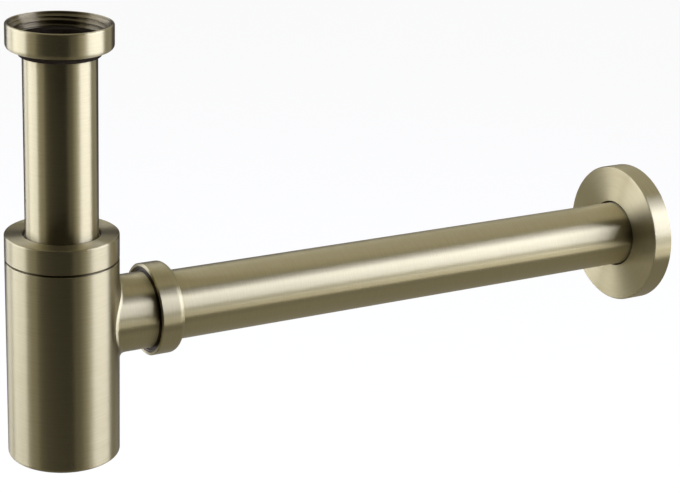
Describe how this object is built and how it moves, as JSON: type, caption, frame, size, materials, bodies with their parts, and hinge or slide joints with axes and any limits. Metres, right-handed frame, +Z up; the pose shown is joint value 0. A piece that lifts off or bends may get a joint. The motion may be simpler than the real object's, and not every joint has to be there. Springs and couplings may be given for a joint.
{
  "type": "basin bottle trap",
  "caption": "Bottle trap for a basin: a nut and dip tube hang a round bottle whose side branch carries a straight outlet tube with a sliding wall flange.",
  "frame": {"origin": "on the inlet axis, at the top of the inlet washer, where the tail of the basin waste seats", "axes": "+Z up along the inlet axis, +X along the outlet tube towards the wall, +Y to complete a right-handed frame"},
  "size_m": [0.353, 0.07, 0.1975],
  "materials": {
    "bronze_upright": "brushed bronze, brushed round the upright axis",
    "bronze_outlet": "brushed bronze, brushed round the outlet axis",
    "rubber": "matt black",
    "nylon": "natural white"
  },
  "bodies": {
    "inlet_nut": {"inlet_nut": "bronze_upright", "nut_bush": "rubber"},
    "inlet_tube": {"inlet_tube": "bronze_upright", "inlet_washer": "rubber"},
    "bottle": {"bottle_body": "bronze_upright", "cap_seal": "rubber", "outlet_seal": "rubber"},
    "cap_slip_ring": {"cap_slip_ring": "nylon"},
    "cap_ring": {"cap_ring": "bronze_upright"},
    "outlet_slip_ring": {"outlet_slip_ring": "nylon"},
    "outlet_nut": {"outlet_nut": "bronze_outlet"},
    "outlet_tube": {"outlet_tube": "bronze_outlet"},
    "wall_flange": {"wall_flange": "bronze_outlet"}
  },
  "joints": [
    {"name": "inlet_swivel", "type": "hinge", "parent": "inlet_nut", "child": "inlet_tube", "pos_m": [0, 0, -0.0036], "axis": [0, 0, 1], "continuous": true},
    {"name": "height_adjust", "type": "slide", "parent": "inlet_tube", "child": "bottle", "axis": [0, 0, 1], "range_m": [-0.045, 0.01]},
    {"name": "cap_lift", "type": "slide", "parent": "bottle", "child": "cap_slip_ring", "axis": [0, 0, 1], "range_m": [0, 0.0061]},
    {"name": "cap_turn", "type": "hinge", "parent": "cap_slip_ring", "child": "cap_ring", "pos_m": [0, 0, -0.0894], "axis": [0, 0, 1], "range_deg": [0, 1440]},
    {"name": "outlet_nut_travel", "type": "slide", "parent": "bottle", "child": "outlet_slip_ring", "axis": [1, 0, 0], "range_m": [0, 0.0061]},
    {"name": "outlet_nut_turn", "type": "hinge", "parent": "outlet_slip_ring", "child": "outlet_nut", "pos_m": [0.0483, 0, -0.1291], "axis": [1, 0, 0], "range_deg": [0, 1440]},
    {"name": "outlet_adjust", "type": "slide", "parent": "bottle", "child": "outlet_tube", "axis": [1, 0, 0], "range_m": [-0.01, 0.01]},
    {"name": "flange_slide", "type": "slide", "parent": "outlet_tube", "child": "wall_flange", "axis": [1, 0, 0], "range_m": [-0.235, 0.005]}
  ],
  "couplings": [
    {"joint": "cap_lift", "follows": "cap_turn", "m_per_rad": 0.00023873},
    {"joint": "outlet_nut_travel", "follows": "outlet_nut_turn", "m_per_rad": 0.00023873}
  ]
}
